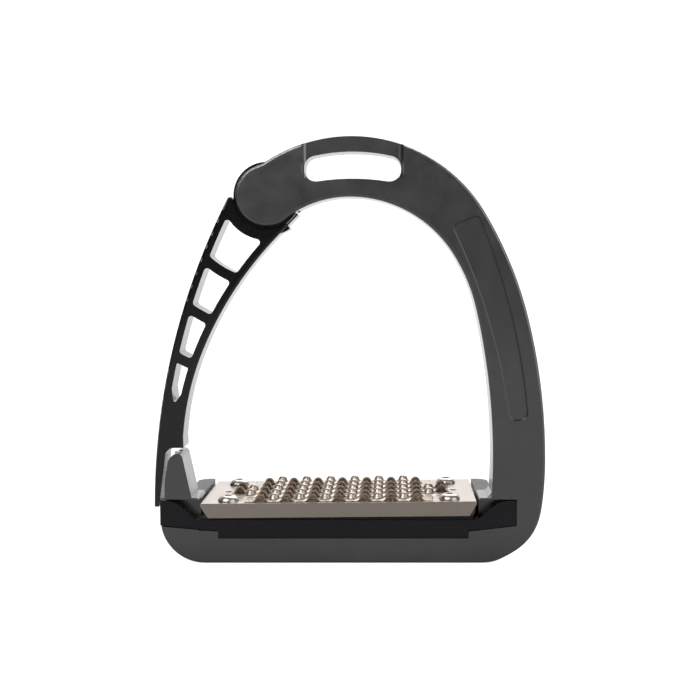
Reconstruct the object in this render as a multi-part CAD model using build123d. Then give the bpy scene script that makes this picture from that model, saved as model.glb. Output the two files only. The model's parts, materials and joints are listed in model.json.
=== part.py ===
from build123d import *
import math
import os

# A safety stirrup iron, in millimetres. X runs across the foot from the opening side (-X) to the
# solid leg (+X), Y runs from the toe-entry face backwards, Z is up. The origin is the centre of the
# base bar's flat underside.

# Frame: one machined bar bent round the foot
half_width = 75.7            # centre plane to the widest point of the solid leg
height = 166.8
depth = 17.5                 # front face to back face
crown_band = 23.4            # thickness of the arch at its top
leg_width = 20.6             # solid leg, at its widest
widest_height = 40.4         # where the leg is widest
corner_right = 25.7          # base corner under the solid leg
corner_left = 17.5           # base corner under the post
corner_curve = [(0.03, 1.0), (0.12, 0.58), (0.34, 0.27), (0.67, 0.066), (1.0, 0.0)]   # shares of corner_right
base_thickness = 13.0        # base bar under the tread carrier
frame_edge = 1.1             # rounding of the frame's long edges

# Slot for the stirrup leather, with the bar set back between two shallow pockets
slot_centre = 0.4
slot_width = 37.4
slot_floor = 16.5            # slot floor below the top of the iron
bar_thickness = 6.0
bar_depth = 12.5             # the bar is thinner than the frame, front to back
slot_corner = 4.6
pocket_margin = 0.9          # pocket side beyond the slot's end
pocket_lift = 0.3            # pocket's floor above the slot's floor
pocket_round = 2.2           # inside rounding where the bar meets the pocket's sides

# Recessed panel in the solid leg
panel_depth = 0.8
panel_slope = 35.0           # slope of the panel's border, in degrees
panel_width_top = 10.9
panel_width_low = 7.7
panel_corner = 2.4
panel_top_drop = 34.3        # upper left corner below the top of the iron
panel_low_height = 56.3

# Hinge of the release arm
hinge_in = 42.7              # hinge inwards from the frame's half width
hinge_drop = 22.8            # hinge below the top of the iron
cheek_radius = 11.8
cheek_blend = 14.0           # blend between the round cheek and the arch
knuckle_radius = 13.0
knuckle_thickness = 10.0
washer_thickness = 0.6
washer_gap = 0.15            # free play beside each washer
pin_radius = 4.0
pin_head_radius = 6.0
pin_head_height = 1.5
pin_blind = 1.4              # how far the pin enters the closed front cheek
bush_wall = 1.4
running = 0.04               # radial running clearance of the pin in its bush
spring_wire = 1.2
spring_turns = 3
spring_radius = 7.2          # mean radius of the coil
spring_room = 0.9            # space round the coil in its pocket

# Release arm
arm_depth = 14.0
arm_edge = 0.9
arm_groove = 0.4             # arm's shoulder stands this far off the knuckle
arm_rail = 3.0
arm_foot_height = 22.2       # lowest point of the arm above the ground
arm_foot_width = 1.9
arm_overhang = 2.3           # the arm's foot stands out this far past the frame's half width
arm_tip_angle = -31.0        # the arm's collar ends here, measured round the hinge
cutout_height = 45.5         # ceiling of the notch that takes the post
window_start = 17.3          # first window, from the hinge axis
window_share = 0.123         # length of a window, as a share of the arm's height
window_strut = 3.9
window_corner = 1.3
last_window_corner = 0.5
window_count = 3
last_window_share = 0.1166   # the tapered fourth window

# Post that the arm closes on
post_height = 43.4
post_in = 2.1                # outer foot of the post inwards from the frame's half width
post_foot_width = 10.6
post_top_in = 4.3            # outer side of the post's top inwards from the half width
post_top_width = 4.5
ledge_height = 26.0          # top of the small ledge at the foot of post and leg
ledge_thickness = 2.1
magnet_radius = 1.6
magnet_length = 5.0
keeper_length = 4.0

# Tread carrier: the black moulding clipped over the base bar
tread_centre = -5.4          # X of the middle of the tread
carrier_gap = 0.25           # clearance between moulding and frame
skirt_depth = 5.8            # how far the skirt is let into the frame's front face
skirt_top = 17.2
skirt_bottom = 10.2
seat_setback = 1.0           # the seat starts this far behind the skirt's face
skirt_step = 2.7             # the wings start this far above the skirt's lower edge
wing_left_in = 0.3           # outer end of the left wing inwards from the frame's half width
wing_right_in = 11.4
wing_top = 24.9
wing_low = 15.1
step_in = 26.8               # middle of the skirt's lower edge to the step at each side, less than the half width
step_centre = -3.5
carrier_back = 38.0          # back edge of the moulding
rim_height = 25.4
rim_width = 6.5
tail_height = 12.5           # underside at the back edge
lip_bottom = 4.5             # lower edge of the lip behind the base bar
lip_thickness = 3.0
rib_pocket_count = 4
rib = 2.4

# Tread plate, tilted a little towards the opening side
tread_side = 21.3            # half of the tread's length is this much less than the half width
tread_thickness = 5.8
tread_back = 41.0            # back edge; the front edge is flush with the frame
tread_bevel = 3.0            # the ends are cut back this much at the bottom
tread_height = 24.2          # top face at the middle
tread_tilt = 0.5             # degrees
screw_inset = 10.6           # screw centres from the ends
screw_inset_side = 5.2       # front screw centres from the front edge
screw_inset_back = 5.6       # back screw centres from the carrier's back edge
locating_hole = 1.35
locating_inset = 8.2

# Grip plate let into the tread plate
grip_thickness = 1.2
grip_margin = 1.6            # from the back edge
grip_margin_front = 2.6      # from the front edge
drain_rim = 0.7              # rim left in front of the groove along the grip plate's front edge
drain_depth = 0.8            # groove below the grip plate
grip_end_margin = 10.4       # the ears stop this far from the ends
grip_notch_length = 7.0      # corner notches that clear the screws
grip_fit = 0.1
tooth_height = 3.0
tooth_radius = 3.4
tooth_wall = 0.65
tooth_pitch_x = 10.3
tooth_pitch_y = 9.6
tooth_shift = 0.9            # middle row behind the tread's middle line

# Fasteners
screw_radius = 2.5
screw_head_radius = 4.15
screw_head_height = 2.3
screw_socket = 1.55
screw_length = 10.0
screw_clearance = 0.2
head_room = 0.6              # between a screw head and the grip plate
insert_wall = 1.2
insert_length = 4.4
base_screw_radius = 2.0
base_screw_head_radius = 4.0
base_screw_head_height = 2.2
base_screw_spread = 30.0     # base screws from the tread's middle
base_insert_length = 4.0
base_socket_depth = 1.6

half_depth = depth / 2
arm_out = half_width + arm_overhang
post_foot_left = half_width - post_in
post_foot_right = post_foot_left - post_foot_width
post_top_left = half_width - post_top_in
post_top_right = post_top_left - post_top_width
wing_left = half_width - wing_left_in
wing_right = half_width - wing_right_in
step_half = half_width - step_in
tread_length = 2 * (half_width - tread_side)
front = -half_depth
hinge = (-(half_width - hinge_in), height - hinge_drop)
inner_half = half_width - leg_width
inner_top = height - crown_band
groove_radius = knuckle_radius + arm_groove
arm_rise = hinge[1] - arm_foot_height
slot_half_gap = knuckle_thickness / 2 + washer_thickness + washer_gap
bush_radius = pin_radius + running + bush_wall
spring_pocket = spring_radius + spring_wire / 2 + spring_room
spring_height = spring_turns * (spring_wire + 0.1)
spring_floor = knuckle_thickness / 2 - spring_height - spring_wire - 0.2
spring_start = spring_floor + spring_wire / 2 + 0.1
tread_middle_y = (front + tread_back) / 2
tooth_middle_y = tread_middle_y + tooth_shift
tread_half = tread_length / 2
bed_left = tread_centre - tread_half - 0.5
bed_right = tread_centre + tread_half + 0.8
magnet_in = (post_top_left + post_top_right) / 2


def polar(centre, radius, angle):
    turn = math.radians(angle)
    return (centre[0] + radius * math.cos(turn), centre[1] + radius * math.sin(turn))


def arc_chain(start, heading, points):
    """Arcs that run on from one another without a kink, through the points."""
    edges = []
    for point in points:
        edges.append(TangentArc(start, point, tangent=heading))
        heading = edges[-1] % 1
        start = point
    return edges


def slab(face, y_front, y_back):
    """A flat X-Z shape made solid between two Y planes."""
    return extrude(Pos(0, y_back, 0) * (Plane.XZ * face), amount=y_back - y_front, dir=(0, -1, 0))


def upright(outline, y_front, y_back):
    """A closed X-Z outline made solid between two Y planes."""
    return slab(make_face(Curve() + outline), y_front, y_back)


def rod(x, z, radius, y_front, y_back):
    return Pos(x, (y_front + y_back) / 2, z) * Rot(X=90) * Cylinder(radius, y_back - y_front)


def face_edges(solid, y, tolerance=0.01):
    """Edges that lie in one Y plane."""
    return solid.edges().filter_by_position(Axis.Y, y - tolerance, y + tolerance)


def on_tread(shape):
    """Carries a piece drawn level into the tread's slight tilt."""
    return Pos(tread_centre, 0, tread_height) * Rot(Y=-tread_tilt) * Pos(0, 0, -tread_thickness) * shape


# Frame

def frame_outline():
    crown = (0, height)
    band_left = polar(hinge, cheek_radius - 1.5, 131.6)
    band_right = polar(hinge, cheek_radius - 0.15, -52.0)
    outside = arc_chain(crown, (1, 0), [
        (half_width - 24.6, height - 28.6),
        (half_width - 7.1, height - 70.0),
        (half_width, widest_height),
    ])
    corner = [(half_width - corner_right * back, corner_right * up) for back, up in corner_curve]
    outside.append(Spline((half_width, widest_height), *corner, tangents=[outside[-1] % 1, (-1, 0)]))
    left_corner = (-(half_width - 0.2), corner_left)
    low_left = arc_chain((-(half_width - 0.2 - corner_left), 0), (-1, 0), [left_corner])
    bed = ledge_height - ledge_thickness
    post = [
        Line((half_width - corner_right, 0), (-(half_width - 0.2 - corner_left), 0)),
        Polyline(left_corner, (-(half_width - 0.3), arm_foot_height - 1.2), (-post_foot_left, ledge_height)),
        ThreePointArc((-post_foot_left, ledge_height), (-post_foot_left + 0.4, post_height - 9.0),
                      (-post_foot_left + 1.2, post_height - 4.6)),
        ThreePointArc((-post_foot_left + 1.2, post_height - 4.6), (-post_top_left + 0.5, post_height - 1.1),
                      (-magnet_in, post_height)),
        ThreePointArc((-magnet_in, post_height), (-post_top_right - 0.3, post_height - 0.3),
                      (-post_top_right + 0.5, post_height - 1.5)),
        Line((-post_top_right + 0.5, post_height - 1.5), (-post_foot_right, ledge_height)),
        Polyline((-post_foot_right, ledge_height), (bed_left - 0.4, ledge_height), (bed_left, ledge_height - 0.6),
                 (bed_left, bed), (bed_left, base_thickness), (bed_right, base_thickness), (bed_right, bed),
                 (bed_right, ledge_height - 0.6), (bed_right + 0.4, ledge_height),
                 (inner_half - 2.6, ledge_height)),
    ]
    post += arc_chain((inner_half, widest_height), (0, -1), [
        (inner_half - 0.3, ledge_height + 3.0),
        (inner_half - 2.6, ledge_height),
    ])
    inside = arc_chain((inner_half, widest_height), (0, 1), [
        (inner_half - 6.9, inner_top - 43.1),
        (inner_half - 16.2, inner_top - 21.4),
        (0.6, inner_top),
        band_right,
    ])
    close = [Line(band_right, band_left)]
    crown_left = arc_chain(crown, (-1, 0), [band_left])
    return outside + low_left + post + inside + close + crown_left


def frame_profile():
    """The outline and the round hinge cheek, blended into one another."""
    face = make_face(Curve() + frame_outline()) + Pos(*hinge) * Circle(cheek_radius)
    joins = [v for v in face.vertices() if abs(math.dist((v.X, v.Y), hinge) - cheek_radius) < 0.01]
    return fillet(joins, cheek_blend)


def leather_slot():
    """The kidney-shaped slot that follows the arch."""
    left = slot_centre - slot_width / 2
    right = slot_centre + slot_width / 2
    top = height - bar_thickness
    floor = height - slot_floor
    sag = 2.0
    outline = [
        ThreePointArc((left, floor - sag), (slot_centre, floor), (right, floor - sag)),
        Line((right, floor - sag), (right, top - 1.3 * sag)),
        ThreePointArc((right, top - 1.3 * sag), (slot_centre, top), (left, top - 1.3 * sag)),
        Line((left, top - 1.3 * sag), (left, floor - sag)),
    ]
    face = make_face(Curve() + outline)
    return fillet(face.vertices(), slot_corner)


def bar_pockets():
    """Shallow pockets that set the bar back from both faces; their sides run into the slot's lower corners."""
    around = Pos(0, pocket_margin + pocket_lift) * offset(leather_slot(), amount=pocket_margin)
    left = slot_centre - slot_width / 2 - pocket_margin
    right = slot_centre + slot_width / 2 + pocket_margin
    low = height - slot_floor + pocket_lift
    above = Pos((left + right) / 2, (low + height + 5) / 2) * Rectangle(right - left, height + 5 - low)
    return around + above


def bar_rounds():
    """Rounded corners left standing where the bar meets the sides of its pockets."""
    reach = slot_width / 2 + pocket_margin - pocket_round
    low = height - slot_floor
    rounds = []
    for side in (-1, 1):
        for end in (-1, 1):
            axis = Pos(slot_centre + end * reach, side * (bar_depth / 2 + pocket_round), (low + height) / 2)
            block = Pos(end * pocket_round / 2, -side * pocket_round / 2) * Box(pocket_round, pocket_round,
                                                                               height - low)
            rounds.append(axis * (block - Cylinder(pocket_round, height)))
    return rounds


def leg_panel():
    """Tapered panel with rounded corners that follows the solid leg."""
    left_top = (half_width - 37.3, height - panel_top_drop)
    right_top = (left_top[0] + panel_width_top, left_top[1] + 0.4 * panel_width_top)
    left_mid = (half_width - 25.3, height - 63.2)
    right_mid = (half_width - 14.4, height - 65.1)
    left_low = (half_width - 14.3, panel_low_height)
    right_low = (left_low[0] + panel_width_low, panel_low_height)
    face = make_face(Curve() + [
        ThreePointArc(left_top, left_mid, left_low),
        Line(left_low, right_low),
        ThreePointArc(right_low, right_mid, right_top),
        Line(right_top, left_top),
    ])
    face = fillet(face.vertices().group_by(Axis.Y)[0], 0.44 * panel_width_low)
    return fillet(face.vertices().group_by(Axis.Y)[-1] + face.vertices().group_by(Axis.Y)[-2], panel_corner)


def skirt_outline(gap):
    """Front view of the carrier's skirt and wings; the frame's recess is the same with a gap."""
    left = -(wing_left + (2.0 if gap else 0.0))
    right = wing_right + gap
    step_left = step_centre - step_half - gap
    step_right = step_centre + step_half + gap
    low = skirt_bottom - gap
    return left, right, step_left, step_right, low


def skirt_recess():
    """Room cut in the frame's front face for the skirt and its two wings."""
    left, right, step_left, step_right, low = skirt_outline(carrier_gap)
    ceiling = wing_top + 2 * carrier_gap
    step_height = low + skirt_step
    return [Polyline((left, ceiling), (left, wing_low - carrier_gap), (step_left, step_height),
                     (step_left, low), (step_right, low), (step_right, step_height),
                     (right, wing_low - carrier_gap), (right, ceiling), (left, ceiling))]


def make_frame():
    blank = slab(frame_profile(), front, half_depth)
    body = blank
    long_edges = [e for e in face_edges(body, front) + face_edges(body, half_depth) if e.length > 7.0]
    bed = [e for e in long_edges if abs(e.center().X - tread_centre) < 58 and 5 < e.center().Z < ledge_height]
    post = [e for e in long_edges if e.center().X < -post_top_right + 5 and e.center().Z > ledge_height]
    body = fillet([e for e in long_edges if e not in bed + post], frame_edge)
    slot = Plane.XZ * leather_slot()
    pocket = Plane.XZ * bar_pockets()
    panel = Plane.XZ * leg_panel()
    for side in (-1, 1):
        cut = extrude(Pos(0, side * half_depth, 0) * pocket, amount=half_depth - bar_depth / 2, dir=(0, -side, 0))
        body -= cut
        body -= extrude(Pos(0, side * half_depth, 0) * panel, amount=panel_depth, dir=(0, -side, 0),
                        taper=panel_slope)
    body += [blank & corner for corner in bar_rounds()]
    body -= extrude(slot, amount=depth, both=True)
    body -= rod(*hinge, groove_radius + 0.3, -slot_half_gap, slot_half_gap)
    body -= rod(*hinge, pin_radius, -slot_half_gap - pin_blind, half_depth)
    body -= rod(*hinge, pin_head_radius, half_depth - pin_head_height, half_depth)
    tail = polar(hinge, spring_radius, 100)
    body -= rod(*tail, spring_wire / 2 + 0.1, slot_half_gap - 0.1, slot_half_gap + 1.6)
    body -= upright(skirt_recess(), front, front + skirt_depth + carrier_gap)
    for x in base_screw_places():
        body -= Pos(x, 0, base_thickness / 2) * Cylinder(base_screw_radius + screw_clearance, base_thickness + 2)
        body -= Pos(x, 0, base_screw_head_height / 2) * Cylinder(base_screw_head_radius + screw_clearance,
                                                                 base_screw_head_height)
    top = post_height - magnet_length
    body -= Pos(-magnet_in, 0, (top + post_height + 2) / 2) * Cylinder(magnet_radius, magnet_length + 2)
    return body


def base_screw_places():
    return [tread_centre - base_screw_spread, tread_centre + base_screw_spread]


# Release arm

def arm_outline():
    shoulder = polar(hinge, groove_radius, 183.0)
    shoulder_out = (hinge[0] - 15.0, hinge[1] - 0.8)
    tip = polar(hinge, groove_radius + 1.0, arm_tip_angle)
    throat = (hinge[0] + 4.6, hinge[1] - 15.3)
    foot = (-arm_out, arm_foot_height)
    belly = (-(arm_out - 9.3), arm_foot_height + 0.558 * arm_rise)
    knee = (-(arm_out - 20.0), arm_foot_height + 0.511 * arm_rise)
    bend = (-(arm_out - 36.1), arm_foot_height + 0.744 * arm_rise)
    waist = (-(arm_out - 11.6), cutout_height + 4.5)
    groove_end = polar(hinge, groove_radius, arm_tip_angle)
    inner = ThreePointArc(throat, bend, knee)
    lower = TangentArc(knee, waist, tangent=inner % 1)
    return [
        Line(shoulder, shoulder_out),
        ThreePointArc(shoulder_out, belly, foot),
        Line(foot, (-(arm_out - arm_foot_width), arm_foot_height)),
        Line((-(arm_out - arm_foot_width), arm_foot_height), (-(arm_out - 4.5), cutout_height - 3.6)),
        ThreePointArc((-(arm_out - 4.5), cutout_height - 3.6), (-(arm_out - 5.5), cutout_height - 1.0),
                      (-(arm_out - 7.9), cutout_height)),
        Line((-(arm_out - 7.9), cutout_height), (-(arm_out - 11.7), cutout_height)),
        Line((-(arm_out - 11.7), cutout_height), waist),
        lower,
        inner,
        Line(throat, tip),
        Line(tip, groove_end),
        ThreePointArc(groove_end, polar(hinge, groove_radius, -105.0), shoulder),
    ]


def arm_windows():
    """Openings between two rails and struts that are arcs about the hinge axis."""
    zone = offset(make_face(Curve() + arm_outline()), amount=-arm_rail)
    window_length = window_share * arm_rise
    pitch = window_length + window_strut
    windows = []
    for index in range(window_count):
        start = window_start + index * pitch
        ring = Pos(*hinge) * (Circle(start + window_length) - Circle(start))
        windows.append(zone & ring)
    start = window_start + window_count * pitch
    end = start + last_window_share * arm_rise
    low = (zone & (Pos(*hinge) * (Circle(end) - Circle(end - 0.6)))).center()
    lean = math.degrees(math.atan2(low.Y - hinge[1], low.X - hinge[0]))
    taper = make_face(Polyline(polar(hinge, start - 4, lean - 10.0), polar(hinge, start - 4, lean + 3.5),
                               polar(hinge, end, lean + 0.3), polar(hinge, end, lean - 0.3),
                               polar(hinge, start - 4, lean - 10.0)))
    windows.append(zone & (Pos(*hinge) * (Circle(end) - Circle(start))) & taper)
    corners = [window_corner] * window_count + [last_window_corner]
    return [round_corners(window, corner) for window, corner in zip(windows, corners)]


def round_corners(face, radius):
    return offset(offset(face, amount=-radius, kind=Kind.INTERSECTION), amount=radius, kind=Kind.ARC)


def make_arm():
    half = arm_depth / 2
    thick = upright(arm_outline(), -half, half)
    rims = [e for e in face_edges(thick, -half) + face_edges(thick, half) if e.length > 20.0]
    sides = [e for e in rims if math.dist((e.center().X, e.center().Z), hinge) > groove_radius + 1]
    thick = fillet(sides, arm_edge)
    for window in arm_windows():
        thick -= extrude(Plane.XZ * window, amount=arm_depth, both=True)
    neck = rod(*hinge, groove_radius + 2.2, -knuckle_thickness / 2, knuckle_thickness / 2)
    wedge = upright([Polyline(hinge, polar(hinge, 40, 186.0), polar(hinge, 40, 220.0), polar(hinge, 40, 260.0),
                              polar(hinge, 40, 305.0), hinge)], -half, half)
    body = thick + (neck & wedge)
    body += rod(*hinge, knuckle_radius, -knuckle_thickness / 2, knuckle_thickness / 2)
    body -= rod(*hinge, bush_radius, -knuckle_thickness / 2, spring_floor)
    body -= rod(*hinge, spring_pocket, spring_floor, knuckle_thickness / 2)
    tail = polar(hinge, spring_radius, 100)
    body -= rod(*tail, spring_wire / 2 + 0.1, spring_floor - 2.4, spring_floor)
    body -= Pos(-magnet_in, 0, cutout_height + (keeper_length - 2) / 2) * Cylinder(magnet_radius,
                                                                                      keeper_length + 2)
    return body


def make_keeper():
    return Pos(-magnet_in, 0, cutout_height + keeper_length / 2) * Cylinder(magnet_radius, keeper_length)


def make_magnet():
    top = post_height - 0.2
    low = post_height - magnet_length
    return Pos(-magnet_in, 0, (top + low) / 2) * Cylinder(magnet_radius, top - low)


# Hinge

def make_pin():
    shank = rod(*hinge, pin_radius, -slot_half_gap - pin_blind, half_depth - pin_head_height)
    head = rod(*hinge, pin_head_radius, half_depth - pin_head_height, half_depth)
    slot = Pos(hinge[0], half_depth, hinge[1]) * Box(pin_head_radius * 1.4, 1.6, 1.4)
    return shank + head - slot


def make_bush():
    sleeve = rod(*hinge, bush_radius, -knuckle_thickness / 2, spring_floor)
    return sleeve - rod(*hinge, pin_radius + running, -knuckle_thickness / 2, spring_floor)


def make_washer(side):
    near = knuckle_thickness / 2 + washer_gap / 2
    y_front, y_back = sorted((side * near, side * (near + washer_thickness)))
    bore = pin_radius + running if side < 0 else spring_pocket + 0.2
    return rod(*hinge, cheek_radius - 0.4, y_front, y_back) - rod(*hinge, bore, y_front, y_back)


def make_spring():
    """Coil about the hinge axis, with a straight tail into the arm and one into the back cheek."""
    wire = spring_wire / 2
    pitch = spring_wire + 0.1
    coil = Helix(pitch, pitch * spring_turns, spring_radius)
    path = Plane(origin=(hinge[0], spring_start, hinge[1]), x_dir=(1, 0, 0), z_dir=(0, 1, 0)) * coil
    turn = Pos(hinge[0], 0, hinge[1]) * Rot(Y=-100) * Pos(-hinge[0], 0, -hinge[1])
    path = turn * path
    section = Plane(origin=path @ 0, z_dir=path % 0) * Circle(wire)
    body = sweep(section, path)
    first = path @ 0
    last = path @ 1
    body += rod(first.X, first.Z, wire, spring_floor - 2.2, first.Y)
    body += rod(last.X, last.Z, wire, last.Y, slot_half_gap + 1.4)
    return body


# Tread carrier

def wing_curve(x_end, x_root, z_end, z_root):
    """The S-shaped upper edge of a wing."""
    reach = x_root - x_end
    return Spline((x_end, z_end), (x_end + 0.42 * reach, z_end - 0.26 * (z_end - z_root)),
                  (x_end + 0.74 * reach, z_end - 0.78 * (z_end - z_root)), (x_root, z_root),
                  tangents=[(reach, 0), (reach, 0)])


def make_skirt():
    left, right, step_left, step_right, low = skirt_outline(0)
    step_height = low + skirt_step
    root_left = bed_left + 0.3
    root_right = bed_right - 2.6
    outline = [
        Polyline((left, wing_top), (left, wing_low), (step_left, step_height), (step_left, low),
                 (step_right, low), (step_right, step_height), (right, wing_low), (right, wing_top)),
        Line((right, wing_top), (right - 2.0, wing_top)),
        wing_curve(right - 2.0, root_right, wing_top, skirt_top),
        Line((root_right, skirt_top), (root_left, skirt_top)),
        wing_curve(left + 2.0, root_left, wing_top, skirt_top),
        Line((left + 2.0, wing_top), (left, wing_top)),
    ]
    return upright(outline, front, front + skirt_depth)


def tread_room():
    """Space for the tread plate above its seat, with clearance at the ends."""
    room = tread_back - front + 40
    return on_tread(Pos(0, tread_middle_y, 10) * Box(tread_length + 1.0, room, 20))


def make_carrier():
    skirt = make_skirt()
    seat_front = front + seat_setback
    seat_top = rim_height
    bed = Pos((bed_left + bed_right) / 2, (seat_front + half_depth + 1) / 2, (base_thickness + seat_top) / 2) * Box(
        bed_right - bed_left - 2 * carrier_gap, half_depth + 1 - seat_front, seat_top - base_thickness)
    rear_left = bed_left - rim_width
    rear_right = bed_right + rim_width
    back_face = half_depth + carrier_gap
    side = make_face(Polyline((back_face, lip_bottom), (back_face + lip_thickness, lip_bottom),
                              (carrier_back, tail_height), (carrier_back, rim_height), (back_face, rim_height),
                              (back_face, lip_bottom)))
    rear = extrude(Pos(rear_left, 0, 0) * (Plane.YZ * side), amount=rear_right - rear_left, dir=(1, 0, 0))
    rear = fillet(rear.edges().filter_by(Axis.Z).group_by(Axis.Y)[-1], 5.0)
    span = (rear_right - rear_left - rib * (rib_pocket_count + 1)) / rib_pocket_count
    room = tread_room()
    body = bed + rear - room
    body += skirt
    seat = tread_height - tread_thickness
    for index in range(rib_pocket_count):
        x = rear_left + rib + span / 2 + index * (span + rib)
        wide = carrier_back - rib - back_face - lip_thickness
        y = back_face + lip_thickness + wide / 2
        body -= Pos(x, y, seat - rib - 10.5) * Box(span, wide, 20)
    for x, y in tread_screw_places():
        if y < half_depth:
            continue
        boss = on_tread(Pos(x, y, -(insert_length + 1.5) / 2) * Cylinder(screw_radius + insert_wall + 2.0,
                                                                         insert_length + 1.5))
        body += boss
    for x, y in tread_screw_places():
        body -= on_tread(Pos(x, y, -insert_length / 2) * Cylinder(screw_radius + insert_wall, insert_length))
        body -= on_tread(Pos(x, y, -screw_length / 2) * Cylinder(screw_radius + screw_clearance, screw_length))
    for x in base_screw_places():
        body -= Pos(x, 0, base_thickness + base_insert_length / 2) * Cylinder(base_screw_radius + insert_wall,
                                                                              base_insert_length)
    return body


# Tread plate and grip

def tread_screw_places():
    """Screw centres, measured from the middle of the tread."""
    x = tread_half - screw_inset
    return [(-x, front + screw_inset_side), (x, front + screw_inset_side),
            (-x, carrier_back - screw_inset_back), (x, carrier_back - screw_inset_back)]


def grip_outline(fit):
    """Flat sheet with a notch at each corner for the screw heads."""
    long = tread_half - grip_end_margin + fit
    short = long - grip_notch_length
    screw_y = tread_screw_places()[2][1]
    slim = screw_y - screw_head_radius - head_room - tread_middle_y + fit
    low = front + grip_margin_front - fit
    high = tread_back - grip_margin + fit
    return Pos(0, tread_middle_y) * Rectangle(2 * long, 2 * slim) + Pos(0, (low + high) / 2) * Rectangle(
        2 * short, high - low)


def make_tread():
    top = tread_thickness
    half = tread_half
    outline = [Polyline((-half + tread_bevel, 0), (half - tread_bevel, 0), (half, top - 1.0), (half - 0.3, top),
                        (-half + 0.3, top), (-half, top - 1.0), (-half + tread_bevel, 0))]
    body = upright(outline, front, tread_back)
    body -= Pos(0, 0, top - grip_thickness) * extrude(grip_outline(grip_fit), amount=grip_thickness + 1)
    groove_low = front + drain_rim
    groove_high = front + grip_margin_front + 0.2
    groove_half = half - grip_end_margin - grip_notch_length + grip_fit
    groove_floor = top - grip_thickness - drain_depth
    body -= Pos(0, (groove_low + groove_high) / 2, groove_floor + 2) * Box(2 * groove_half,
                                                                          groove_high - groove_low, 4)
    for x, y in tread_screw_places():
        body -= Pos(x, y, top / 2) * Cylinder(screw_radius + screw_clearance, top + 2)
    for side in (-1, 1):
        body -= Pos(side * (half - locating_inset), tread_middle_y, top / 2) * Cylinder(locating_hole, top + 2)
    return on_tread(body)


def tooth(facing):
    """Half of a hollow, bell-shaped pressing, open on its flat side; facing 1 is open to the back."""
    outer = bell(tooth_radius, tooth_height)
    inner = bell(tooth_radius - 1.4 * tooth_wall, tooth_height - tooth_wall)
    half = revolve(Plane.XZ * (outer - inner), Axis.Z, 180)
    return Rot(Z=180 if facing > 0 else 0) * half


def bell(radius, rise):
    """Half section of a bell: a round crown that runs into a flared foot."""
    top = (0, rise)
    foot = (radius, 0)
    side = arc_chain(top, (1, 0), [(radius * 0.55, rise * 0.52), foot])
    return make_face(Curve() + side + [Polyline(foot, (radius, -grip_thickness), (0, -grip_thickness), top)])


def tooth_places():
    """Alternate columns, staggered by half a pitch and facing opposite ways."""
    places = []
    columns = int((tread_half - grip_end_margin) / (tooth_pitch_x / 2) - 0.4)
    rows = int((tread_back - front - 2 * grip_margin - 2 * tooth_radius) / tooth_pitch_y) + 1
    for column in range(-columns, columns + 1):
        closed = column % 2
        count = rows if closed else rows - 1
        x = column * tooth_pitch_x / 2
        for row in range(count):
            y = tooth_middle_y + (row - (count - 1) / 2) * tooth_pitch_y
            outside = abs(x) > tread_half - grip_end_margin - grip_notch_length - tooth_radius
            if outside and abs(y - tooth_middle_y) > tooth_pitch_y:
                continue
            places.append((x, y, 1 if closed else -1))
        if not closed and abs(x) < tread_half - grip_end_margin - grip_notch_length - tooth_radius:
            places.append((x, front + grip_margin_front, -1))
    return places


def make_grip():
    sheet = extrude(grip_outline(0), amount=grip_thickness)
    places = tooth_places()
    hollow = bell(tooth_radius - 1.4 * tooth_wall, tooth_height - tooth_wall)
    hole = revolve(Plane.XZ * hollow, Axis.Z, 180)
    sheet -= [Pos(x, y, grip_thickness) * Rot(Z=180 if facing > 0 else 0) * hole for x, y, facing in places]
    teeth = [Pos(x, y, grip_thickness) * tooth(facing) for x, y, facing in places]
    body = sheet + teeth
    return on_tread(Pos(0, 0, tread_thickness - grip_thickness) * body)


# Fasteners

def make_tread_screw(x, y):
    shank = Pos(0, 0, -screw_length / 2) * Cylinder(screw_radius, screw_length)
    dome = make_face(Curve() + [
        Polyline((0, screw_head_height), (0, 0), (screw_head_radius, 0), (screw_head_radius, 0.5)),
        ThreePointArc((screw_head_radius, 0.5), (screw_head_radius * 0.82, screw_head_height * 0.72),
                      (screw_head_radius * 0.45, screw_head_height)),
        Line((screw_head_radius * 0.45, screw_head_height), (0, screw_head_height)),
    ])
    head = revolve(Plane.XZ * dome, Axis.Z)
    socket = Pos(0, 0, screw_head_height - 1.4) * extrude(RegularPolygon(screw_socket, 6), amount=2)
    return on_tread(Pos(x, y, tread_thickness) * (shank + head - socket))


def make_tread_insert(x, y):
    body = Pos(0, 0, -insert_length / 2) * (Cylinder(screw_radius + insert_wall, insert_length)
                                            - Cylinder(screw_radius, insert_length))
    return on_tread(Pos(x, y, 0) * body)


def make_base_screw(x):
    top = base_thickness + base_insert_length
    shank = Pos(0, 0, top / 2) * Cylinder(base_screw_radius, top - 0.4)
    head = Pos(0, 0, base_screw_head_height / 2 + 0.2) * Cylinder(base_screw_head_radius,
                                                                  base_screw_head_height - 0.4)
    socket = extrude(RegularPolygon(screw_socket, 6), amount=base_socket_depth)
    return Pos(x, 0, 0) * (shank + head - socket)


def make_base_insert(x):
    tube = Cylinder(base_screw_radius + insert_wall, base_insert_length) - Cylinder(base_screw_radius,
                                                                                    base_insert_length)
    return Pos(x, 0, base_thickness + base_insert_length / 2) * tube


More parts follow.
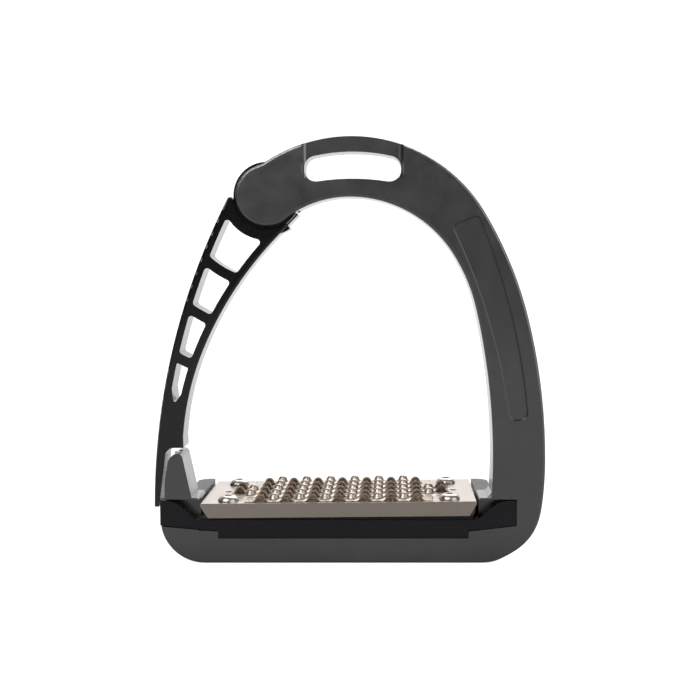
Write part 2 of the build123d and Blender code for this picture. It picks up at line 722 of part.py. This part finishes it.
def build():
    nodes = {
        "frame": make_frame(),
        "release_arm": make_arm(),
        "arm_keeper": make_keeper(),
        "post_magnet": make_magnet(),
        "pivot_pin": make_pin(),
        "pivot_bush": make_bush(),
        "thrust_washer_front": make_washer(-1),
        "thrust_washer_back": make_washer(1),
        "torsion_spring": make_spring(),
        "tread_carrier": make_carrier(),
        "tread_plate": make_tread(),
        "grip_plate": make_grip(),
    }
    for index, (x, y) in enumerate(tread_screw_places(), 1):
        nodes[f"tread_screw_{index}"] = make_tread_screw(x, y)
        nodes[f"tread_insert_{index}"] = make_tread_insert(x, y)
    for index, x in enumerate(base_screw_places(), 1):
        nodes[f"base_screw_{index}"] = make_base_screw(x)
        nodes[f"base_insert_{index}"] = make_base_insert(x)
    return nodes


os.makedirs("parts", exist_ok=True)
for name, shape in build().items():
    export_step(shape, os.path.join("parts", name + ".step"))
    print(name, len(shape.solids()), round(shape.volume, 1))
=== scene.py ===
import bmesh
import bpy
import json
import math
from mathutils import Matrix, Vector


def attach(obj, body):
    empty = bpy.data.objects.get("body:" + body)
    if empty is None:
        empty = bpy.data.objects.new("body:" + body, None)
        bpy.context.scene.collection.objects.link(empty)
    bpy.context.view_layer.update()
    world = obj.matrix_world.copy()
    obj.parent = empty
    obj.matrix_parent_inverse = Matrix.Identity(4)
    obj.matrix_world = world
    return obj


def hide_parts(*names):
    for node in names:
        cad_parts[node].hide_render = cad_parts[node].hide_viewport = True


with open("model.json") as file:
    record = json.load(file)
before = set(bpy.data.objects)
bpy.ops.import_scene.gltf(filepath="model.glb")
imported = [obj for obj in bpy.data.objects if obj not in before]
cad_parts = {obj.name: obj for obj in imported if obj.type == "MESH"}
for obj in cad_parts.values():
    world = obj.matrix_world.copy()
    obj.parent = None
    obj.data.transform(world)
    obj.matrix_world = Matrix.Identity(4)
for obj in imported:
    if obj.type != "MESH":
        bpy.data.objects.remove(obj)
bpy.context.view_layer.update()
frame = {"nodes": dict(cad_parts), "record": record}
nodes = frame["nodes"]


# Camera and studio

cameraSettings = {
    "place": (0.0152, -0.48375, 0.1181),   # a little right of the middle, at the height of the upper leg
    "pitch": 4.085,                         # degrees downward
    "lens": 63.02,
    "sensor": 36.0,
    "shift": -0.0586,                       # keeps the base bar level while the iron sits in the middle
}


def addCamera(settings):
    data = bpy.data.cameras.new("studioCamera")
    data.lens = settings["lens"]
    data.sensor_width = settings["sensor"]
    data.shift_x = settings["shift"]
    data.clip_start = 0.01
    data.clip_end = 30.0
    camera = bpy.data.objects.new("studioCamera", data)
    camera.location = settings["place"]
    camera.rotation_euler = (math.radians(90.0 - settings["pitch"]), 0.0, 0.0)
    bpy.context.scene.collection.objects.link(camera)
    bpy.context.scene.camera = camera


addCamera(cameraSettings)
print("camera placed")


# Shader groups shared by the finishes

def newGroup(name, inputs, outputs):
    group = bpy.data.node_groups.new(name, "ShaderNodeTree")
    for label, kind, value in inputs:
        socket = group.interface.new_socket(name=label, in_out="INPUT", socket_type=kind)
        socket.default_value = value
    for label, kind in outputs:
        group.interface.new_socket(name=label, in_out="OUTPUT", socket_type=kind)
    return group, group.nodes.new("NodeGroupInput"), group.nodes.new("NodeGroupOutput")


def makeNoise(tree, vector, scale, detail=3.0, roughness=0.5):
    noise = tree.nodes.new("ShaderNodeTexNoise")
    noise.inputs["Detail"].default_value = detail
    noise.inputs["Roughness"].default_value = roughness
    if isinstance(scale, float):
        noise.inputs["Scale"].default_value = scale
    else:
        tree.links.new(scale, noise.inputs["Scale"])
    tree.links.new(vector, noise.inputs["Vector"])
    return noise.outputs["Fac"]


def mapRange(tree, value, low, high, fromLow=0.3, fromHigh=0.7):
    node = tree.nodes.new("ShaderNodeMapRange")
    node.inputs["From Min"].default_value = fromLow
    node.inputs["From Max"].default_value = fromHigh
    for socket, end in (("To Min", low), ("To Max", high)):
        if isinstance(end, float):
            node.inputs[socket].default_value = end
        else:
            tree.links.new(end, node.inputs[socket])
    tree.links.new(value, node.inputs["Value"])
    return node.outputs["Result"]


grainSettings = {
    "clouds": 38.0,           # noise scales, in waves per metre
    "smudges": 130.0,
    "scratches": 260.0,
    "relief": 0.00004,        # height of the grain in metres
    "wear": 0.25,             # share of bare metal in a scuff
    "scuffRoughness": 0.18,   # extra roughness in a scuff
}


# fine blasted or moulded grain, slow handling marks and small scuffs, from the piece's own coordinates
def makeFinishGroup():
    group, given, result = newGroup(
        "surfaceFinish",
        [("Colour", "NodeSocketColor", (0.1, 0.1, 0.1, 1.0)), ("Variation", "NodeSocketFloat", 0.06),
         ("Roughness low", "NodeSocketFloat", 0.3), ("Roughness high", "NodeSocketFloat", 0.4),
         ("Grain size", "NodeSocketFloat", 3500.0), ("Grain depth", "NodeSocketFloat", 0.15),
         ("Scuffs", "NodeSocketFloat", 0.3)],
        [("Colour", "NodeSocketColor"), ("Roughness", "NodeSocketFloat"), ("Normal", "NodeSocketVector")],
    )
    links = group.links
    place = group.nodes.new("ShaderNodeTexCoord").outputs["Object"]
    grain = makeNoise(group, place, given.outputs["Grain size"], 2.0, 0.6)
    clouds = makeNoise(group, place, grainSettings["clouds"], 4.0, 0.6)
    smudges = makeNoise(group, place, grainSettings["smudges"], 3.0, 0.55)

    stretch = group.nodes.new("ShaderNodeMapping")
    stretch.inputs["Rotation"].default_value = (0.4, 0.7, 0.9)
    stretch.inputs["Scale"].default_value = (1.0, 14.0, 3.0)
    links.new(place, stretch.inputs["Vector"])
    scratches = makeNoise(group, stretch.outputs["Vector"], grainSettings["scratches"], 2.0, 0.5)
    scuffMask = mapRange(group, scratches, 0.0, 1.0, 0.66, 0.72)
    scuffs = group.nodes.new("ShaderNodeMath")
    scuffs.operation = "MULTIPLY"
    links.new(scuffMask, scuffs.inputs[0])
    links.new(given.outputs["Scuffs"], scuffs.inputs[1])

    shade = group.nodes.new("ShaderNodeHueSaturation")
    spread = group.nodes.new("ShaderNodeMath")
    spread.operation = "MULTIPLY_ADD"
    centred = mapRange(group, clouds, -1.0, 1.0)
    links.new(centred, spread.inputs[0])
    links.new(given.outputs["Variation"], spread.inputs[1])
    spread.inputs[2].default_value = 1.0
    links.new(spread.outputs["Value"], shade.inputs["Value"])
    links.new(given.outputs["Colour"], shade.inputs["Color"])

    worn = group.nodes.new("ShaderNodeMix")
    worn.data_type = "RGBA"
    worn.inputs["B"].default_value = (0.34, 0.33, 0.32, 1.0)
    links.new(shade.outputs["Color"], worn.inputs["A"])
    wear = group.nodes.new("ShaderNodeMath")
    wear.operation = "MULTIPLY"
    wear.inputs[1].default_value = grainSettings["wear"]
    links.new(scuffs.outputs["Value"], wear.inputs[0])
    links.new(wear.outputs["Value"], worn.inputs["Factor"])
    links.new(worn.outputs["Result"], result.inputs["Colour"])

    rough = mapRange(group, smudges, given.outputs["Roughness low"], given.outputs["Roughness high"])
    lifted = group.nodes.new("ShaderNodeMath")
    lifted.operation = "MULTIPLY_ADD"
    lifted.inputs[1].default_value = grainSettings["scuffRoughness"]
    links.new(scuffs.outputs["Value"], lifted.inputs[0])
    links.new(rough, lifted.inputs[2])
    links.new(lifted.outputs["Value"], result.inputs["Roughness"])

    bump = group.nodes.new("ShaderNodeBump")
    bump.inputs["Distance"].default_value = grainSettings["relief"]
    links.new(given.outputs["Grain depth"], bump.inputs["Strength"])
    links.new(grain, bump.inputs["Height"])
    links.new(bump.outputs["Normal"], result.inputs["Normal"])
    return group


finishGroup = makeFinishGroup()


def makeFinish(name, finish):
    material = bpy.data.materials.new(name)
    material.use_nodes = True
    tree = material.node_tree
    shader = tree.nodes["Principled BSDF"]
    shader.inputs["Metallic"].default_value = finish["metallic"]
    for socket, key in (("Coat Weight", "coat"), ("Specular IOR Level", "specular")):
        if key in finish:
            shader.inputs[socket].default_value = finish[key]
    shader.inputs["Coat Roughness"].default_value = 0.12
    group = tree.nodes.new("ShaderNodeGroup")
    group.node_tree = finishGroup
    group.inputs["Colour"].default_value = (*finish["colour"], 1.0)
    group.inputs["Variation"].default_value = finish["variation"]
    group.inputs["Roughness low"].default_value = finish["roughness"][0]
    group.inputs["Roughness high"].default_value = finish["roughness"][1]
    group.inputs["Grain size"].default_value = finish["grain"]
    group.inputs["Grain depth"].default_value = finish["depth"]
    group.inputs["Scuffs"].default_value = finish["scuffs"]
    tree.links.new(group.outputs["Colour"], shader.inputs["Base Color"])
    tree.links.new(group.outputs["Roughness"], shader.inputs["Roughness"])
    tree.links.new(group.outputs["Normal"], shader.inputs["Normal"])
    return material


finishes = {
    "frameAnodised": {"colour": (0.190, 0.197, 0.191), "metallic": 1.0, "coat": 1.0, "variation": 0.05,
                      "roughness": (0.34, 0.42), "grain": 2600.0, "depth": 0.5, "scuffs": 0.08},
    "armBlack": {"colour": (0.050, 0.047, 0.049), "metallic": 1.0, "coat": 1.0, "variation": 0.06,
                 "roughness": (0.24, 0.32), "grain": 3600.0, "depth": 0.25, "scuffs": 0.1},
    "carrierBlack": {"colour": (0.010, 0.009, 0.012), "metallic": 0.0, "specular": 0.45, "variation": 0.1,
                     "roughness": (0.24, 0.34), "grain": 2600.0, "depth": 0.25, "scuffs": 0.04},
    "treadMetal": {"colour": (0.640, 0.540, 0.465), "metallic": 1.0, "coat": 1.0, "variation": 0.04,
                   "roughness": (0.30, 0.38), "grain": 3800.0, "depth": 0.4, "scuffs": 0.06},
    "gripMetal": {"colour": (0.560, 0.482, 0.415), "metallic": 1.0, "coat": 0.5, "variation": 0.05,
                  "roughness": (0.34, 0.44), "grain": 4200.0, "depth": 0.4, "scuffs": 0.05},
    "screwSteel": {"colour": (0.66, 0.60, 0.55), "metallic": 1.0, "variation": 0.03,
                   "roughness": (0.26, 0.34), "grain": 5200.0, "depth": 0.1, "scuffs": 0.15},
    "groundSteel": {"colour": (0.45, 0.45, 0.45), "metallic": 1.0, "variation": 0.03,
                    "roughness": (0.25, 0.35), "grain": 4000.0, "depth": 0.2, "scuffs": 0.2},
    "magnetNickel": {"colour": (0.60, 0.58, 0.54), "metallic": 1.0, "variation": 0.02,
                     "roughness": (0.12, 0.2), "grain": 5000.0, "depth": 0.1, "scuffs": 0.1},
    "insertBrass": {"colour": (0.62, 0.42, 0.15), "metallic": 1.0, "variation": 0.05,
                    "roughness": (0.25, 0.35), "grain": 4200.0, "depth": 0.2, "scuffs": 0.1},
    "washerBlack": {"colour": (0.02, 0.02, 0.02), "metallic": 0.0, "variation": 0.05,
                    "roughness": (0.3, 0.4), "grain": 3000.0, "depth": 0.2, "scuffs": 0.0},
}
finishMaterials = {name: makeFinish(name, finish) for name, finish in finishes.items()}

finishBySlot = {
    "frame_anodised": "frameAnodised", "arm_black": "armBlack", "carrier_black": "carrierBlack",
    "tread_metal": "treadMetal", "grip_metal": "gripMetal", "screw_steel": "screwSteel",
    "steel": "groundSteel", "magnet": "magnetNickel", "brass": "insertBrass", "washer": "washerBlack",
}
slotByNode = {row["node"]: row["material_slot"] for row in frame["record"]["subparts"]}


def dress(piece, finishName):
    piece.data.materials.clear()
    piece.data.materials.append(finishMaterials[finishName])


for name, piece in nodes.items():
    dress(piece, finishBySlot[slotByNode[name]])
print("finishes applied to", len(nodes), "nodes")


# Machined pieces with clean, smooth curves

edgeSettings = {
    "weld": 0.00001,
    "flat": 0.4,        # degrees between faces that count as one flat
    "crisp": 32.0,      # degrees above which an edge stays crisp
    "segments": 3,
}


# a welded copy of a node with smooth curves; its crisp edges are broken by the given width
def smoothCopy(name, softening=0.0):
    mesh = nodes[name].data.copy()
    shape = bmesh.new()
    shape.from_mesh(mesh)
    bmesh.ops.remove_doubles(shape, verts=shape.verts, dist=edgeSettings["weld"])
    limit = math.radians(edgeSettings["crisp"])
    if softening:
        bmesh.ops.dissolve_limit(shape, angle_limit=math.radians(edgeSettings["flat"]), verts=shape.verts,
                                 edges=shape.edges)
        crisp = [edge for edge in shape.edges
                 if len(edge.link_faces) == 2 and edge.calc_face_angle(0.0) > limit]
        bmesh.ops.bevel(shape, geom=crisp, offset=softening, offset_type="OFFSET", affect="EDGES",
                        segments=edgeSettings["segments"], profile=0.5, material=-1, clamp_overlap=True)
    for edge in shape.edges:
        if len(edge.link_faces) == 2:
            edge.smooth = edge.calc_face_angle(0.0) < limit
    for face in shape.faces:
        face.smooth = True
    shape.to_mesh(mesh)
    shape.free()
    piece = bpy.data.objects.new(name + "Body", mesh)
    bpy.context.scene.collection.objects.link(piece)
    weighting = piece.modifiers.new("faceWeights", "WEIGHTED_NORMAL")
    weighting.keep_sharp = True
    dress(piece, finishBySlot[slotByNode[name]])
    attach(piece, bodyOf(name))
    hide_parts(name)
    return piece


def bodyOf(name):
    for body, members in frame["record"]["behaviour"]["bodies"].items():
        if name in members:
            return body


# Stage

stageSettings = {"width": 6.0, "front": -3.0, "back": 2.2, "rise": 3.0, "bend": 0.8,
                 "colour": (0.34, 0.34, 0.34), "glow": 0.95,
                 "rearGlow": 0.62, "rearStart": 0.02, "rearEnd": 0.30}


def makeStage(settings):
    shape = bmesh.new()
    half = settings["width"] / 2
    bend = settings["bend"]
    line = [(settings["front"], 0.0), (settings["back"] - bend, 0.0)]
    steps = 16
    for step in range(1, steps + 1):
        turn = math.pi / 2 * step / steps
        line.append((settings["back"] - bend + bend * math.sin(turn), bend - bend * math.cos(turn)))
    line.append((settings["back"], settings["rise"]))
    verts = [shape.verts.new((-half, y, z)) for y, z in line]
    edges = [shape.edges.new(pair) for pair in zip(verts, verts[1:])]
    grown = bmesh.ops.extrude_edge_only(shape, edges=edges)
    moved = [item for item in grown["geom"] if isinstance(item, bmesh.types.BMVert)]
    bmesh.ops.translate(shape, verts=moved, vec=(2 * half, 0, 0))
    bmesh.ops.recalc_face_normals(shape, faces=shape.faces)
    for face in shape.faces:
        face.smooth = True
    mesh = bpy.data.meshes.new("studioFloor")
    shape.to_mesh(mesh)
    shape.free()
    floor = bpy.data.objects.new("studioFloor", mesh)
    bpy.context.scene.collection.objects.link(floor)
    material = bpy.data.materials.new("paperFloor")
    material.use_nodes = True
    shader = material.node_tree.nodes["Principled BSDF"]
    shader.inputs["Base Color"].default_value = (*settings["colour"], 1.0)
    shader.inputs["Roughness"].default_value = 0.9
    shader.inputs["Specular IOR Level"].default_value = 0.2
    shader.inputs["Emission Color"].default_value = (1.0, 1.0, 1.0, 1.0)
    # the paper looks white; it throws light back from behind the iron and little from in front of it
    tree = material.node_tree
    rays = tree.nodes.new("ShaderNodeLightPath").outputs["Is Camera Ray"]
    place = tree.nodes.new("ShaderNodeTexCoord").outputs["Object"]
    split = tree.nodes.new("ShaderNodeSeparateXYZ")
    tree.links.new(place, split.inputs["Vector"])
    behind = mapRange(tree, split.outputs["Y"], 0.0, settings["rearGlow"], settings["rearStart"],
                      settings["rearEnd"])
    either = tree.nodes.new("ShaderNodeMath")
    either.operation = "MAXIMUM"
    tree.links.new(rays, either.inputs[0])
    tree.links.new(behind, either.inputs[1])
    lift = tree.nodes.new("ShaderNodeMath")
    lift.operation = "MULTIPLY"
    lift.inputs[1].default_value = settings["glow"]
    tree.links.new(either.outputs["Value"], lift.inputs[0])
    tree.links.new(lift.outputs["Value"], shader.inputs["Emission Strength"])
    mesh.materials.append(material)


lightSettings = {
    "key": {"place": (-0.9, -1.3, 1.5), "size": 1.6, "power": 26.0},
    "fill": {"place": (1.4, -1.0, 0.8), "size": 1.8, "power": 12.0},
    "rear": {"place": (0.2, 1.2, 1.5), "size": 1.8, "power": 20.0},
}


def addLights(settings):
    target = Vector((0.0, 0.0, 0.08))
    for name, light in settings.items():
        data = bpy.data.lights.new(name + "Panel", "AREA")
        data.shape = "SQUARE"
        data.size = light["size"]
        data.energy = light["power"]
        panel = bpy.data.objects.new(name + "Panel", data)
        panel.location = light["place"]
        aim = target - Vector(light["place"])
        panel.rotation_euler = aim.to_track_quat("-Z", "Y").to_euler()
        bpy.context.scene.collection.objects.link(panel)


# bright behind the iron, dimmer behind the camera, so that flat fronts stay dark and edges catch light
def makeWorld(low, high):
    world = bpy.data.worlds.new("studioSurround")
    world.use_nodes = True
    tree = world.node_tree
    background = tree.nodes["Background"]
    position = tree.nodes.new("ShaderNodeTexCoord")
    split = tree.nodes.new("ShaderNodeSeparateXYZ")
    tree.links.new(position.outputs["Generated"], split.inputs["Vector"])
    ramp = mapRange(tree, split.outputs["Y"], low, high, -0.15, 0.5)
    tree.links.new(ramp, background.inputs["Strength"])
    bpy.context.scene.world = world


makeStage(stageSettings)
addLights(lightSettings)
makeWorld(0.50, 1.0)
bpy.context.scene.view_settings.view_transform = "Standard"
print("stage and lights ready")

edgeWidths = {"frame": 0.0, "release_arm": 0.0, "tread_carrier": 0.0003, "tread_plate": 0.00025,
              "grip_plate": 0.0, "pivot_pin": 0.0}
edgeWidths.update({name: 0.0 for name in nodes if name.startswith("tread_screw")})
for name, width in edgeWidths.items():
    smoothCopy(name, width)
print("smooth bodies made")
